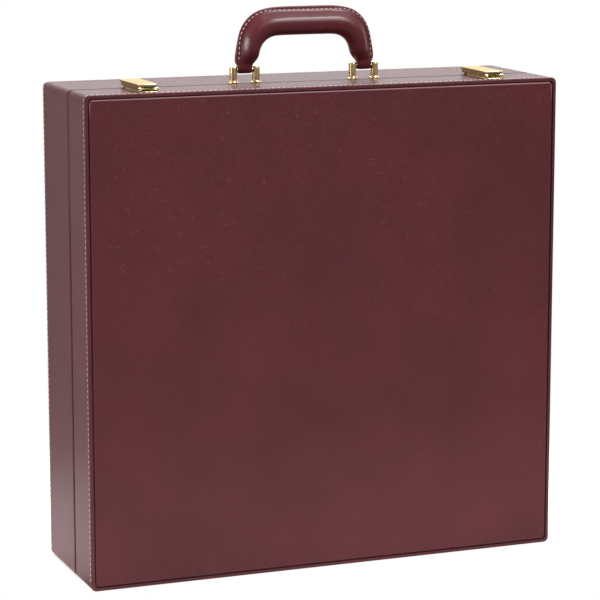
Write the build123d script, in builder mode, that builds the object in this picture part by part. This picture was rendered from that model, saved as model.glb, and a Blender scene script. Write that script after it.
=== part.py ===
from build123d import *
import os

# Chess box: a leather-covered case that stands upright on its long side, with a hinged lid in front.
# X runs to the right, Y to the rear and Z up. The origin lies under the middle of the closed case.
# All lengths are in millimetres.

# Closed case, without its handle
case_width = 460.0
case_height = 450.0
lid_depth = 52.0
base_depth = 82.0
split_gap = 0.6

# Shell of both sections
leather = 1.5
board = 8.0
panel = 4.0
lining = 0.8
corner_radius = 5.0
rim_round = 3.2
face_round = 1.0
lip_width = 3.0
groove_width = 1.2
cover_corner = 4.0
seam_inset = 20.0
pad_thickness = 8.0
pad_round = 3.0
lining_setback = 1.0
soft_gap = 0.3

# Long hinge along the bottom of the split
hinge_knuckle_radius = 2.2
hinge_pin_radius = 1.1
hinge_floor_gap = 0.2
hinge_inset = 15.0
hinge_knuckles = 20
knuckle_gap = 0.3
leaf_thickness = 1.2
hinge_relief = 6.0
groove_clearance = 0.4
hinge_fit = 0.05
leaf_screws = 8
leaf_screw_radius = 1.1
leaf_screw_head = 1.7
leaf_screw_length = 12.0

# Compartments and playing board
frame_side = 9.2
frame_end = 4.2
board_thickness = 12.0
board_setback = 3.5
board_edge_round = 1.0
divider = 4.0
dividers_each_way = 3
lap_clearance = 0.1
rest_gap = 0.2
seat_clearance = 0.3

# Turn-buttons that hold the board
button_width = 8.0
button_reach = 20.0
button_thickness = 1.6
button_round = 0.4
button_gap = 0.2
button_screw_radius = 1.4
button_head_radius = 2.6
button_head_height = 0.9
button_screw_length = 9.0
button_fit = 0.08

# Handle posts, pins and fastenings
post_setback = 8.0
post_spacing = 22.0
leg_offset = 59.0
post_radius = 3.6
post_foot_radius = 5.0
post_foot_height = 2.4
post_foot_rim = 0.6
post_over_pin = 2.8
post_dome = 1.5
stud_radius = 2.0
pin_radius = 1.5
pin_overhang = 3.0
plate_thickness = 1.5
plate_width = 8.0
plate_overhang = 5.0
pocket_clearance = 0.3
nut_flats = 7.0
nut_height = 3.0
nut_cover = 0.5
stud_fit = 0.05

# Handle
leg_clearance = 0.5
leg_thickness = 8.0
shoulder_clearance = 2.4
lay_gap = 1.2
grip_height = 21.4
grip_depth = 22.0
grip_underside = 42.0
bend_radius = 28.5
bend_leg_inset = 2.7
core_thickness = 2.5
core_width = 6.0
eye_fit = 0.06
bore_clearance = 0.3
welt_stand = 5.6
welt_thickness = 3.2
welt_depth = 12.0
welt_radius = 33.0
welt_side = 10.2
welt_spread = 10.0
welt_lift = 1.1

# Latches on top, one near each end
latch_inset = 61.0
latch_width = 18.0
latch_setback = 4.5
latch_reach = 11.5
latch_floor = 1.2
rail_thickness = 1.2
rail_height = 3.4
latch_pin_setback = 4.5
latch_pin_height = 3.0
latch_pin_radius = 0.9
ear_radius = 2.0
cheek_gap = 0.1
cheek_thickness = 1.2
side_clearance = 0.2
lever_gap = 0.2
lever_thickness = 2.0
lever_bevel = 0.7
lever_overhang = 1.2
lever_corner = 2.0
flange_thickness = 1.0
flange_foot = 2.0
flange_start = 3.0
nose_thickness = 2.0
nose_foot = 1.6
lever_fit = 0.05
spring_wire = 0.6
spring_turns = 12
spring_ridge_gap = 0.16
spring_fit = 0.2
strike_width = 12.4
strike_floor = 1.2
strike_headroom = 0.8
strike_round = 0.5
strike_tongue = 1.6
strike_length = 5.6
strike_gap = 0.5
strike_rivet_spacing = 6.2
rivet_radius = 0.9
rivet_head_radius = 1.6
rivet_crown_radius = 1.1
rivet_head_height = 0.5
rivet_bite = 5.0
latch_rivets = 3
rivet_pin_distance = 8.0
rivet_end_distance = 7.5

# How far a cut runs past the face that it opens
past = 1.0

# Places worked out from the sizes above
y_front = -(lid_depth + base_depth) / 2
y_split = y_front + lid_depth
y_rear = y_split + base_depth
lid_rim = y_split - split_gap / 2
base_rim = y_split + split_gap / 2
middle_z = case_height / 2
wall = leather + board
inner_half_width = case_width / 2 - wall
through = case_width + case_height
hinge_length = case_width - 2 * hinge_inset
latch_offset = case_width / 2 - latch_inset

os.makedirs("parts", exist_ok=True)


def write(piece, name):
    piece.label = name
    export_step(piece, f"parts/{name}.step")


def slab(half_width, low, high, y_from, y_to, radius=0.0):
    """An upright block between two depths, centred on the case's middle plane."""
    with BuildPart() as block:
        with BuildSketch(Plane.XZ.offset(-y_to)):
            with Locations((0, (low + high) / 2)):
                if radius > 0:
                    RectangleRounded(2 * half_width, high - low, radius)
                else:
                    Rectangle(2 * half_width, high - low)
        extrude(amount=y_to - y_from)
    return block.part


def inset_slab(inset, y_from, y_to, radius=0.0):
    """A block that follows the case's outline at the given inset."""
    return slab(case_width / 2 - inset, inset, case_height - inset, y_from, y_to, radius)


def box_between(x_from, x_to, y_from, y_to, z_from, z_to):
    with BuildPart() as block:
        with Locations(((x_from + x_to) / 2, (y_from + y_to) / 2, (z_from + z_to) / 2)):
            Box(x_to - x_from, y_to - y_from, z_to - z_from)
    return block.part


def rod(center, axis, radius, length):
    """A round bar along X, Y or Z, centred on the given point."""
    with BuildPart(Plane(origin=center, z_dir=axis)) as bar:
        Cylinder(radius, length)
    return bar.part


def section_blocks(y_face, y_rim):
    """Outer leather block and inner wooden block of one section, with their rim and face rounded."""
    faces_front = y_face < y_rim
    near, far = min(y_face, y_rim), max(y_face, y_rim)
    rim_group, face_group = (-1, 0) if faces_front else (0, -1)
    with BuildPart() as outer:
        add(inset_slab(0, near, far, corner_radius))
        fillet(outer.edges().group_by(Axis.Y)[rim_group], rim_round)
        fillet(outer.edges().group_by(Axis.Y)[face_group], face_round)
    with BuildPart() as inner:
        add(inset_slab(leather, near + leather, far - leather, corner_radius - leather))
        fillet(inner.edges().group_by(Axis.Y)[rim_group], rim_round - leather)
    return outer.part, inner.part


# Long hinge: its axis runs along X at the bottom of the split
hinge_z = hinge_floor_gap + hinge_knuckle_radius
knuckle_pitch = hinge_length / hinge_knuckles
leaf_low = hinge_z + hinge_knuckle_radius + knuckle_gap
leaf_high = wall - knuckle_gap
leaf_screw_z = (leaf_low + leaf_high) / 2
leaf_screw_pitch = hinge_length / leaf_screws
leaf_screw_places = [(i - (leaf_screws - 1) / 2) * leaf_screw_pitch for i in range(leaf_screws)]


def hinge_channel():
    """Room for the knuckles: a shallow slot in the leather and a round groove in the boards."""
    with BuildPart() as room:
        depths = (y_split - hinge_relief, y_split + hinge_relief)
        add(box_between(-through / 2, through / 2, *depths, -past, leather))
        add(rod((0, y_split, hinge_z), (1, 0, 0), hinge_knuckle_radius + groove_clearance, through))
    return room.part


def leaf_screw(side, x, head_radius, radius, length):
    """A countersunk screw into a board's rim, with its flat head flush with the leaf."""
    face = y_split + side * (split_gap / 2 + leather - leaf_thickness)
    with BuildPart(Plane(origin=(x, face, leaf_screw_z), z_dir=(0, side, 0))) as screw:
        with Locations((0, 0, leaf_thickness / 2)):
            Cone(head_radius, radius, leaf_thickness)
        with Locations((0, 0, length / 2)):
            Cylinder(radius, length)
    return screw.part


def leaf_screws_set(side):
    with BuildPart() as screws:
        for x in leaf_screw_places:
            add(leaf_screw(side, x, leaf_screw_head, leaf_screw_radius, leaf_screw_length))
    return screws.part


def hinge_leaf(side):
    """One leaf: a strip on the board's rim that wraps the pin in every second knuckle."""
    face = y_split + side * (split_gap / 2 + leather - leaf_thickness)
    back = y_split + side * (split_gap / 2 + leather)
    near, far = min(face, back), max(face, back)
    with BuildPart() as leaf:
        add(box_between(-hinge_length / 2, hinge_length / 2, near, far, leaf_low, leaf_high))
        for i in range(hinge_knuckles):
            if i % 2 == (0 if side < 0 else 1):
                x = (i + 0.5) * knuckle_pitch - hinge_length / 2
                half = (knuckle_pitch - knuckle_gap) / 2
                add(rod((x, y_split, hinge_z), (1, 0, 0), hinge_knuckle_radius, 2 * half))
                add(box_between(x - half, x + half, near, far, hinge_z, leaf_low))
        bore = rod((0, y_split, hinge_z), (1, 0, 0), hinge_pin_radius + hinge_fit, through)
        add(bore, mode=Mode.SUBTRACT)
        add(leaf_screws_set(side), mode=Mode.SUBTRACT)
    return leaf.part


write(hinge_leaf(-1), "hinge_leaf_lid")
write(hinge_leaf(1), "hinge_leaf_base")
write(rod((0, y_split, hinge_z), (1, 0, 0), hinge_pin_radius, hinge_length), "hinge_pin")
write(leaf_screws_set(-1), "hinge_screws_lid")
write(leaf_screws_set(1), "hinge_screws_base")

# Latch: the plate and its rails stand on the lid, and the lever reaches over the strike on the base
latch_front = y_front + latch_setback
latch_back = y_split + latch_reach
latch_pin_y = latch_front + latch_pin_setback
latch_pin_z = case_height + latch_pin_height
lever_top = latch_pin_height + ear_radius + lever_gap + lever_thickness
latch_floor_end = lid_rim - rim_round
latch_half = latch_width / 2
cheek_outer = latch_half - rail_thickness - side_clearance
cheek_radius = latch_pin_height - latch_floor - cheek_gap
spring_bore = latch_pin_radius + spring_fit
first_rivet = latch_pin_y + rivet_pin_distance
rivet_pitch = (latch_floor_end - rivet_end_distance - first_rivet) / (latch_rivets - 1)
latch_rivet_places = [first_rivet + i * rivet_pitch for i in range(latch_rivets)]
strike_back = latch_back - nose_thickness - strike_gap
strike_front = strike_back - strike_length
strike_rivet_y = strike_front + (strike_length - strike_tongue) / 2
strike_height = lever_top - lever_thickness - strike_headroom


def rivet(x, y, plate_top):
    """A round-headed rivet through a plate and the leather into the board below."""
    reach = plate_top + leather + rivet_bite
    with BuildPart(Plane.XY.offset(case_height + plate_top)) as pin:
        with Locations((x, y, rivet_head_height / 2)):
            Cone(rivet_head_radius, rivet_crown_radius, rivet_head_height)
        with Locations((x, y, -reach / 2)):
            Cylinder(rivet_radius, reach)
    return pin.part


def latch_rivet_set(x):
    with BuildPart() as rivets:
        for y in latch_rivet_places:
            add(rivet(x, y, latch_floor))
    return rivets.part


def strike_rivet_set(x):
    with BuildPart() as rivets:
        for side in (-1, 1):
            add(rivet(x + side * strike_rivet_spacing / 2, strike_rivet_y, strike_floor))
    return rivets.part


def latch_plate(x):
    """Floor with an upturned rail on each side, each rail ending in a round ear for the pin."""
    top = case_height
    with BuildPart() as plate:
        add(box_between(x - latch_half, x + latch_half, latch_front, latch_floor_end, top, top + latch_floor))
        for side in (-1, 1):
            rail_x = x + side * (latch_half - rail_thickness / 2)
            edges = (rail_x - rail_thickness / 2, rail_x + rail_thickness / 2)
            add(box_between(*edges, latch_pin_y, latch_floor_end, top, top + rail_height))
            add(box_between(*edges, latch_pin_y - ear_radius, latch_pin_y + ear_radius, top, latch_pin_z))
            add(rod((rail_x, latch_pin_y, latch_pin_z), (1, 0, 0), ear_radius, rail_thickness))
        add(rod((x, latch_pin_y, latch_pin_z), (1, 0, 0), latch_pin_radius, latch_width), mode=Mode.SUBTRACT)
        add(latch_rivet_set(x), mode=Mode.SUBTRACT)
    return plate.part


def latch_lever(x):
    """Cover plate with a bevelled rim, a cheek at each side of the pin, side flanges and a nose."""
    top = case_height + lever_top
    under = top - lever_thickness
    front = latch_pin_y - lever_overhang
    with BuildPart() as lever:
        with BuildSketch(Plane.XY.offset(under)):
            with Locations((x, (front + latch_back) / 2)):
                Rectangle(latch_width, latch_back - front)
        extrude(amount=lever_thickness)
        fillet(lever.edges().filter_by(Axis.Z).group_by(Axis.Y)[-1], lever_corner)
        chamfer(lever.edges().group_by(Axis.Z)[-1], lever_bevel)
        for side in (-1, 1):
            outer = x + side * cheek_outer
            cheek_x = outer - side * cheek_thickness / 2
            cheek = (cheek_x - cheek_thickness / 2, cheek_x + cheek_thickness / 2)
            add(rod((cheek_x, latch_pin_y, latch_pin_z), (1, 0, 0), cheek_radius, cheek_thickness))
            add(box_between(*cheek, front, latch_pin_y + cheek_radius, latch_pin_z, under))
            flange_x = outer - side * flange_thickness / 2
            flange = (flange_x - flange_thickness / 2, flange_x + flange_thickness / 2)
            start = latch_pin_y + flange_start
            add(box_between(*flange, start, latch_back - lever_corner, case_height + flange_foot, under))
        nose = (x - cheek_outer, x + cheek_outer, latch_back - nose_thickness, latch_back - lever_bevel)
        add(box_between(*nose, case_height + nose_foot, under))
        add(rod((x, latch_pin_y, latch_pin_z), (1, 0, 0), latch_pin_radius + lever_fit, latch_width),
            mode=Mode.SUBTRACT)
    return lever.part


def latch_spring(x):
    """Torsion spring on the pin between the cheeks, drawn as a sleeve with one ridge for each turn."""
    length = 2 * (cheek_outer - cheek_thickness - side_clearance)
    pitch = length / spring_turns
    sleeve = spring_wire / 2
    with BuildPart() as spring:
        with BuildSketch(Plane.XY.offset(latch_pin_z)):
            with Locations((x, latch_pin_y + spring_bore + sleeve / 2)):
                Rectangle(length, sleeve)
            for i in range(spring_turns):
                ridge_x = x + (i - (spring_turns - 1) / 2) * pitch
                with Locations((ridge_x, latch_pin_y + spring_bore + sleeve)):
                    Ellipse((pitch - spring_ridge_gap) / 2, sleeve)
        revolve(axis=Axis((x, latch_pin_y, latch_pin_z), (1, 0, 0)))
    return spring.part


def latch_strike(x):
    """Small plate on the base with an upright tongue just in front of the lever's nose."""
    edges = (x - strike_width / 2, x + strike_width / 2)
    tongue = strike_back - strike_tongue
    with BuildPart() as strike:
        add(box_between(*edges, strike_front, strike_back, case_height, case_height + strike_floor))
        add(box_between(*edges, tongue, strike_back, case_height, case_height + strike_height))
        fillet(strike.edges().filter_by(Axis.X).group_by(Axis.Z)[-1], strike_round)
        add(strike_rivet_set(x), mode=Mode.SUBTRACT)
    return strike.part


for name, x in (("left", -latch_offset), ("right", latch_offset)):
    write(latch_plate(x), f"{name}_latch_plate")
    write(latch_lever(x), f"{name}_latch_lever")
    write(latch_spring(x), f"{name}_latch_spring")
    write(latch_strike(x), f"{name}_latch_strike")

with BuildPart() as latch_pins:
    for x in (-latch_offset, latch_offset):
        add(rod((x, latch_pin_y, latch_pin_z), (1, 0, 0), latch_pin_radius, latch_width))
write(latch_pins.part, "latch_pins")

with BuildPart() as latch_rivets_all:
    for x in (-latch_offset, latch_offset):
        add(latch_rivet_set(x))
write(latch_rivets_all.part, "latch_rivets")

with BuildPart() as strike_rivets_all:
    for x in (-latch_offset, latch_offset):
        add(strike_rivet_set(x))
write(strike_rivets_all.part, "strike_rivets")

# Handle posts: each is bolted through the leather and the top board to a plate in a pocket
post_y = y_split + post_setback
post_places = {
    "left_outer": -leg_offset - post_spacing / 2,
    "left_inner": -leg_offset + post_spacing / 2,
    "right_inner": leg_offset - post_spacing / 2,
    "right_outer": leg_offset + post_spacing / 2,
}
pin_height = grip_depth / 2 + lay_gap
pin_z = case_height + pin_height
post_height = pin_height + post_over_pin
pocket_low = case_height - wall
pocket_high = pocket_low + nut_cover + nut_height + plate_thickness
plate_low = pocket_high - plate_thickness
nut_low = plate_low - nut_height
plate_half = post_spacing / 2 + plate_overhang


def post_stud(x, radius):
    length = case_height - nut_low
    return rod((x, post_y, case_height - length / 2), (0, 0, 1), radius, length)


def handle_post(x):
    """Turned post: a spreading foot, a plain shaft with a domed top, and a stud below."""
    with BuildPart() as post:
        with BuildSketch(Plane.XZ.offset(-post_y)):
            with BuildLine():
                foot_edge = (x + post_foot_radius, case_height)
                foot_rise = (x + post_foot_radius, case_height + post_foot_rim)
                shaft_start = (x + post_radius, case_height + post_foot_height)
                Polyline((x, case_height), foot_edge, foot_rise)
                RadiusArc(foot_rise, shaft_start, post_foot_height)
                dome_start = (x + post_radius, case_height + post_height - post_dome)
                dome_end = (x + post_radius - post_dome, case_height + post_height)
                Line(shaft_start, dome_start)
                RadiusArc(dome_start, dome_end, -post_dome)
                Polyline(dome_end, (x, case_height + post_height), (x, case_height))
            make_face()
        revolve(axis=Axis((x, post_y, 0), (0, 0, 1)))
        add(post_stud(x, stud_radius))
        add(rod((x, post_y, pin_z), (1, 0, 0), pin_radius, 2 * post_foot_radius), mode=Mode.SUBTRACT)
    return post.part


def handle_pin(x):
    length = post_spacing + 2 * pin_overhang
    return rod((x, post_y, pin_z), (1, 0, 0), pin_radius, length)


for name, x in post_places.items():
    write(handle_post(x), f"handle_post_{name}")

with BuildPart() as handle_pins:
    for x in (-leg_offset, leg_offset):
        add(handle_pin(x))
write(handle_pins.part, "handle_pins")

for name, x in (("left", -leg_offset), ("right", leg_offset)):
    with BuildPart() as backing:
        add(box_between(x - plate_half, x + plate_half, post_y - plate_width / 2, post_y + plate_width / 2,
                        plate_low, pocket_high))
        for side in (-1, 1):
            add(post_stud(x + side * post_spacing / 2, stud_radius + stud_fit), mode=Mode.SUBTRACT)
    write(backing.part, f"handle_plate_{name}")

with BuildPart() as nuts:
    with BuildSketch(Plane.XY.offset(nut_low)):
        with Locations(*[(x, post_y) for x in post_places.values()]):
            RegularPolygon(nut_flats / 2, 6, major_radius=False)
    extrude(amount=nut_height)
    for x in post_places.values():
        add(post_stud(x, stud_radius), mode=Mode.SUBTRACT)
write(nuts.part, "handle_nuts")

# Handle: a bar and two bent legs, each leg narrowing to a round end between its posts
grip_z = case_height + grip_underside + grip_height / 2
bend_x = leg_offset - bend_leg_inset - bend_radius
bend_z = grip_z - bend_radius
leg_top_x = bend_x + bend_radius
shoulder_z = case_height + post_height + shoulder_clearance
leg_width = post_spacing - 2 * (post_radius + leg_clearance)


def handle_leg(side):
    """Bend, narrowing leg and rounded end of one side of the handle."""
    with BuildPart() as leg:
        with BuildSketch(Plane(origin=(side * bend_x, post_y, grip_z), x_dir=(0, 1, 0), z_dir=(side, 0, 0))):
            Ellipse(grip_depth / 2, grip_height / 2)
        revolve(axis=Axis((side * bend_x, post_y, bend_z), (0, side, 0)), revolution_arc=90)
        with BuildSketch(Plane(origin=(side * leg_top_x, post_y, bend_z), z_dir=(0, 0, 1))) as upper:
            Ellipse(grip_height / 2, grip_depth / 2)
        with BuildSketch(Plane(origin=(side * leg_offset, post_y, shoulder_z), z_dir=(0, 0, 1))) as lower:
            Ellipse(leg_width / 2, leg_thickness / 2)
        loft(sections=[upper.sketch, lower.sketch])
    return leg.part


def leg_end(side):
    """Flat end of a leg, which turns on the pin between two posts."""
    x = side * leg_offset
    with BuildPart() as end:
        add(box_between(x - leg_width / 2, x + leg_width / 2, post_y - leg_thickness / 2,
                        post_y + leg_thickness / 2, pin_z, shoulder_z))
        add(rod((x, post_y, pin_z), (1, 0, 0), leg_thickness / 2, leg_width))
    return end.part


def handle_core():
    """Steel strip that follows the handle's middle line and ends in an eye at each pin."""
    with BuildPart() as core:
        with BuildSketch(Plane.XZ.offset(-post_y + core_width / 2)):
            with BuildLine():
                left_foot = (-leg_offset, pin_z)
                left_knee = (-leg_offset, shoulder_z)
                left_top = (-leg_top_x, bend_z)
                Polyline(left_foot, left_knee, left_top)
                RadiusArc(left_top, (-bend_x, grip_z), bend_radius)
                Line((-bend_x, grip_z), (bend_x, grip_z))
                RadiusArc((bend_x, grip_z), (leg_top_x, bend_z), bend_radius)
                Polyline((leg_top_x, bend_z), (leg_offset, shoulder_z), (leg_offset, pin_z))
            trace(line_width=core_thickness)
        extrude(amount=-core_width)
        for side in (-1, 1):
            add(rod((side * leg_offset, post_y, pin_z), (1, 0, 0), core_width / 2, core_thickness))
            add(rod((side * leg_offset, post_y, pin_z), (1, 0, 0), pin_radius + eye_fit, 2 * leg_width),
                mode=Mode.SUBTRACT)
    return core.part


with BuildPart() as grip:
    with BuildSketch(Plane.YZ.offset(-bend_x)):
        with Locations((post_y, grip_z)):
            Ellipse(grip_depth / 2, grip_height / 2)
    extrude(amount=2 * bend_x)
    for side in (-1, 1):
        add(handle_leg(side))
        add(leg_end(side))
solid_grip = grip.part
core_part = handle_core()

with BuildPart() as grip_leather:
    add(solid_grip)
    add(core_part, mode=Mode.SUBTRACT)
    for side in (-1, 1):
        add(rod((side * leg_offset, post_y, pin_z), (1, 0, 0), pin_radius + bore_clearance, 2 * leg_width),
            mode=Mode.SUBTRACT)
write(core_part, "handle_core")
write(grip_leather.part, "handle_grip")

# Welt: the stitched leather edge along the outside of the grip
welt_crown_z = grip_z + grip_height / 2 + welt_stand
welt_waist = leg_top_x + welt_side
welt_foot = leg_offset + welt_spread
welt_start_z = shoulder_z + welt_lift
welt_arc_x = welt_waist - welt_radius
with BuildPart() as welt:
    with BuildSketch(Plane.XZ.offset(-post_y + welt_thickness / 2)):
        with BuildLine():
            foot = (welt_foot, welt_start_z)
            waist = (welt_waist, welt_crown_z - welt_radius)
            crown = (welt_arc_x, welt_crown_z)
            inner_crown = (welt_arc_x, welt_crown_z - welt_depth)
            inner_waist = (welt_waist - welt_depth, welt_crown_z - welt_radius)
            inner_foot = (leg_offset, welt_start_z)
            Line(foot, waist)
            RadiusArc(waist, crown, -welt_radius)
            Line(crown, (-crown[0], crown[1]))
            RadiusArc((-crown[0], crown[1]), (-waist[0], waist[1]), -welt_radius)
            Polyline((-waist[0], waist[1]), (-foot[0], foot[1]), (-inner_foot[0], inner_foot[1]),
                     (-inner_waist[0], inner_waist[1]))
            RadiusArc((-inner_waist[0], inner_waist[1]), (-inner_crown[0], inner_crown[1]),
                      welt_radius - welt_depth)
            Line((-inner_crown[0], inner_crown[1]), inner_crown)
            RadiusArc(inner_crown, inner_waist, welt_radius - welt_depth)
            Line(inner_waist, inner_foot)
            Line(inner_foot, foot)
        make_face()
    extrude(amount=-welt_thickness)
    add(solid_grip, mode=Mode.SUBTRACT)
write(welt.part, "handle_welt")

# Shell sections
lid_outer, lid_block = section_blocks(y_front, lid_rim)
base_outer, base_block = section_blocks(y_rear, base_rim)
window = inset_slab(wall, y_front - past, y_rear + past)
channel = hinge_channel()
seam_half = case_width / 2 - seam_inset
seam_box = box_between(-seam_half, seam_half, y_front - past, y_rear + past, -past, lip_width)
rim_bottom = box_between(-inner_half_width, inner_half_width, y_split - hinge_relief, y_split + hinge_relief,
                         -past, wall)


def leather_ring(outer, block, y_face):
    """Leather round one section: outside, rim and the narrow lip on the face."""
    near, far = min(y_face, y_face - leather), max(y_face, y_face + leather)
    with BuildPart() as ring:
        add(outer)
        add(block, mode=Mode.SUBTRACT)
        add(window, mode=Mode.SUBTRACT)
        add(inset_slab(lip_width, near, far, cover_corner), mode=Mode.SUBTRACT)
        add(rim_bottom, mode=Mode.SUBTRACT)
        add(channel, mode=Mode.SUBTRACT)
    return ring.part


def fastener_holes():
    """Everything that is screwed, riveted or bolted into the leather and the boards."""
    with BuildPart() as holes:
        for x in (-latch_offset, latch_offset):
            add(latch_rivet_set(x))
            add(strike_rivet_set(x))
        for x in post_places.values():
            add(post_stud(x, stud_radius + stud_fit))
        for side in (-1, 1):
            add(leaf_screws_set(side))
            x = side * leg_offset
            half = plate_half + pocket_clearance
            deep = plate_width / 2 + pocket_clearance
            pocket = (x - half, x + half, post_y - deep, post_y + deep)
            add(box_between(*pocket, pocket_low - past, pocket_high))
    return holes.part


holes = fastener_holes()


def write_leather(outer, block, y_face, name):
    ring = leather_ring(outer, block, y_face)
    with BuildPart() as band:
        add(ring)
        add(seam_box, mode=Mode.SUBTRACT)
        add(holes, mode=Mode.SUBTRACT)
    with BuildPart() as foot:
        add(ring)
        add(seam_box, mode=Mode.INTERSECT)
    write(band.part, f"{name}_band_cover")
    write(foot.part, f"{name}_foot_cover")


def write_boards(block, name):
    """Four boards of one frame: top and bottom run the full width, the sides stand between them."""
    with BuildPart() as frame:
        add(block)
        add(window, mode=Mode.SUBTRACT)
        add(channel, mode=Mode.SUBTRACT)
        add(holes, mode=Mode.SUBTRACT)
    half = case_width / 2
    cuts = {
        "top": (-half, half, case_height - wall, case_height),
        "bottom": (-half, half, 0, wall),
        "left": (-half, 0, wall, case_height - wall),
        "right": (0, half, wall, case_height - wall),
    }
    for place, (x_from, x_to, z_from, z_to) in cuts.items():
        with BuildPart() as piece:
            add(frame.part)
            add(box_between(x_from, x_to, y_front, y_rear, z_from, z_to), mode=Mode.INTERSECT)
        write(piece.part, f"{name}_{place}_board")


write_leather(lid_outer, lid_block, y_front, "lid")
write_leather(base_outer, base_block, y_rear, "base")
write_boards(lid_block, "lid")
write_boards(base_block, "base")

# Front and rear covers, set inside the lip with a groove all round, and the panels behind them
cover_inset = lip_width + groove_width
with BuildPart() as front_cover:
    add(inset_slab(cover_inset, y_front, y_front + leather, cover_corner))
    fillet(front_cover.edges().group_by(Axis.Y)[0], face_round)
write(front_cover.part, "lid_front_cover")

with BuildPart() as rear_cover:
    add(inset_slab(cover_inset, y_rear - leather, y_rear, cover_corner))
    fillet(rear_cover.edges().group_by(Axis.Y)[-1], face_round)
write(rear_cover.part, "base_rear_cover")

lid_floor = y_front + leather + panel
base_floor = y_rear - leather - panel
write(inset_slab(wall, y_front + leather, lid_floor), "lid_front_panel")
write(inset_slab(wall, base_floor, y_rear - leather), "base_rear_panel")


def wall_lining(y_from, y_to):
    with BuildPart() as ring:
        add(inset_slab(wall, y_from, y_to))
        add(inset_slab(wall + lining, y_from - past, y_to + past), mode=Mode.SUBTRACT)
    return ring.part


write(wall_lining(lid_floor, lid_rim - leather - lining_setback), "lid_wall_lining")
write(wall_lining(base_rim + leather + lining_setback, base_floor), "base_wall_lining")
write(inset_slab(wall + lining, base_floor - lining, base_floor), "base_floor_lining")

with BuildPart() as pad:
    add(inset_slab(wall + lining + soft_gap, lid_floor, lid_floor + pad_thickness))
    fillet(pad.edges().group_by(Axis.Y)[-1], pad_round)
write(pad.part, "lid_pad")

# Playing board, seated in a frame over the compartments
board_face = base_rim + board_setback
board_back = board_face + board_thickness
rest_inset = wall + lining + rest_gap
seat_half_width = case_width / 2 - rest_inset - frame_side
seat_low = rest_inset + frame_end
seat_high = case_height - seat_low
board_half_width = seat_half_width - seat_clearance
with BuildPart() as playing_board:
    add(slab(board_half_width, seat_low + seat_clearance, seat_high - seat_clearance, board_face, board_back))
    fillet(playing_board.edges().group_by(Axis.Y)[0], board_edge_round)
write(playing_board.part, "playing_board")

button_x = seat_half_width + frame_side / 2
button_back = board_face - button_gap
button_front = button_back - button_thickness


def button_screw(side, radius):
    """Screw that a turn-button pivots on, with its head over the button."""
    with BuildPart(Plane(origin=(side * button_x, button_front, middle_z), z_dir=(0, 1, 0))) as screw:
        with Locations((0, 0, -button_head_height / 2)):
            Cylinder(button_head_radius, button_head_height)
        with Locations((0, 0, (button_thickness + button_screw_length) / 2)):
            Cylinder(radius, button_thickness + button_screw_length)
    return screw.part


def turn_button(side):
    """Flat tab with round ends, lying across the board's edge."""
    x_near = side * button_x
    x_far = side * (button_x - button_reach)
    with BuildPart() as button:
        with BuildSketch(Plane.XZ.offset(-button_back)):
            with Locations(((x_near + x_far) / 2, middle_z)):
                SlotCenterToCenter(button_reach, button_width)
        extrude(amount=button_thickness)
        fillet(button.edges().group_by(Axis.Y)[0], button_round)
        add(button_screw(side, button_screw_radius + button_fit), mode=Mode.SUBTRACT)
    return button.part


with BuildPart() as button_screws:
    for side in (-1, 1):
        add(button_screw(side, button_screw_radius))
write(button_screws.part, "button_screws")

with BuildPart() as board_frame:
    add(inset_slab(rest_inset, board_face, board_back))
    add(slab(seat_half_width, seat_low, seat_high, board_face - past, board_back + past), mode=Mode.SUBTRACT)
    for side in (-1, 1):
        add(button_screw(side, button_screw_radius), mode=Mode.SUBTRACT)
write(board_frame.part, "board_frame")

for name, side in (("left", -1), ("right", 1)):
    write(turn_button(side), f"turn_button_{name}")

# Compartments: strips of wood, half-lapped where they cross
divider_front = board_back + rest_gap
divider_back = base_floor - lining
divider_middle = (divider_front + divider_back) / 2
lined_width = case_width - 2 * rest_inset
lined_height = case_height - 2 * rest_inset
column_cell = (lined_width - dividers_each_way * divider) / (dividers_each_way + 1)
row_cell = (lined_height - dividers_each_way * divider) / (dividers_each_way + 1)
divider_steps = [i - (dividers_each_way - 1) / 2 for i in range(dividers_each_way)]
column_places = [step * (column_cell + divider) for step in divider_steps]
row_places = [middle_z + step * (row_cell + divider) for step in divider_steps]
lap_half = divider / 2 + lap_clearance

for number, z in enumerate(row_places, start=1):
    with BuildPart() as row:
        add(box_between(-lined_width / 2, lined_width / 2, divider_front, divider_back,
                        z - divider / 2, z + divider / 2))
        for x in column_places:
            add(box_between(x - lap_half, x + lap_half, divider_middle, divider_back,
                            z - divider, z + divider), mode=Mode.SUBTRACT)
    write(row.part, f"row_divider_{number}")

for number, x in enumerate(column_places, start=1):
    with BuildPart() as column:
        add(box_between(x - divider / 2, x + divider / 2, divider_front, divider_back,
                        middle_z - lined_height / 2, middle_z + lined_height / 2))
        for z in row_places:
            add(box_between(x - divider, x + divider, divider_front, divider_middle,
                            z - lap_half, z + lap_half), mode=Mode.SUBTRACT)
    write(column.part, f"column_divider_{number}")
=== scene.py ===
import math

import bpy
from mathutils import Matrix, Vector


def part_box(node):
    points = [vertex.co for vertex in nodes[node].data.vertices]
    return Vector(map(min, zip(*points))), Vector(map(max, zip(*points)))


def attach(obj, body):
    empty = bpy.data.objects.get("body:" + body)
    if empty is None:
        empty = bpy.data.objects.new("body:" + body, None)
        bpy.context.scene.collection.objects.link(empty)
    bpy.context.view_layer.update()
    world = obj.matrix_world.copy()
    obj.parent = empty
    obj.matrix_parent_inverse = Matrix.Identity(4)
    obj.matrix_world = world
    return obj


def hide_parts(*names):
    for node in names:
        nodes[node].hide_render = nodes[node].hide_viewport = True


# A leather chess box: an upright case with a stitched handle, brass latches and velvet inside.
# X runs to the right, Y to the rear, Z up. The pieces' sizes below are in mm, the studio's in metres.

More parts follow.
